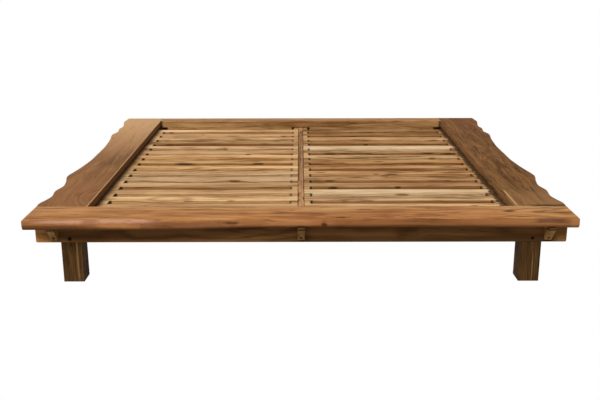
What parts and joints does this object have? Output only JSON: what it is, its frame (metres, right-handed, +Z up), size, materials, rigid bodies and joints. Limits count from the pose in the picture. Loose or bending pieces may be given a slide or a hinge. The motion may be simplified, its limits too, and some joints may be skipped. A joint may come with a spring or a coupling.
{
  "type": "low platform bed frame",
  "caption": "Low wooden platform bed with thick shaped-edge boards round a slatted mattress recess, on an apron frame with square legs.",
  "frame": {"origin": "middle of the plan, on the floor that the legs stand on", "axes": "+X to the right seen from the front, across the bed; +Y from the front board to the back board; +Z up"},
  "size_m": [2.4517, 2.412, 0.315],
  "materials": {
    "front_board_wood": "oiled, satin, reddish brown",
    "side_board_wood": "oiled, satin, grey brown",
    "frame_wood": "oiled, satin, dark brown",
    "bracket_wood": "oiled, satin, yellow brown",
    "slat_wood": "planed, matt, honey brown",
    "block_wood": "planed, matt, honey brown",
    "dowel_wood": "plain",
    "blackened_steel": "blackened"
  },
  "bodies": {
    "root": {"front_board": "front_board_wood", "back_board": "side_board_wood", "left_board": "side_board_wood", "right_board": "side_board_wood", "front_apron": "frame_wood", "back_apron": "frame_wood", "left_rail": "frame_wood", "right_rail": "frame_wood", "centre_beam": "frame_wood", "front_left_leg": "frame_wood", "front_right_leg": "frame_wood", "back_left_leg": "frame_wood", "back_right_leg": "frame_wood", "centre_foot": "frame_wood", "left_ledger": "frame_wood", "right_ledger": "frame_wood", "centre_ledgers": "frame_wood", "back_cleats": "frame_wood", "front_left_bracket": "bracket_wood", "front_centre_bracket": "bracket_wood", "front_right_bracket": "bracket_wood", "side_brackets": "bracket_wood", "side_blocks": "block_wood", "centre_blocks": "block_wood", "dowels": "dowel_wood", "corner_bolts": "blackened_steel", "barrel_nuts": "blackened_steel", "wood_screws": "blackened_steel", "left_slat_01": "slat_wood", "left_slat_02": "slat_wood", "left_slat_03": "slat_wood", "left_slat_04": "slat_wood", "left_slat_05": "slat_wood", "left_slat_06": "slat_wood", "left_slat_07": "slat_wood", "left_slat_08": "slat_wood", "left_slat_09": "slat_wood", "left_slat_10": "slat_wood", "left_slat_11": "slat_wood", "left_slat_12": "slat_wood", "left_slat_13": "slat_wood", "left_slat_14": "slat_wood", "left_slat_15": "slat_wood", "left_slat_16": "slat_wood", "right_slat_01": "slat_wood", "right_slat_02": "slat_wood", "right_slat_03": "slat_wood", "right_slat_04": "slat_wood", "right_slat_05": "slat_wood", "right_slat_06": "slat_wood", "right_slat_07": "slat_wood", "right_slat_08": "slat_wood", "right_slat_09": "slat_wood", "right_slat_10": "slat_wood", "right_slat_11": "slat_wood", "right_slat_12": "slat_wood", "right_slat_13": "slat_wood", "right_slat_14": "slat_wood", "right_slat_15": "slat_wood", "right_slat_16": "slat_wood"}
  },
  "joints": []
}
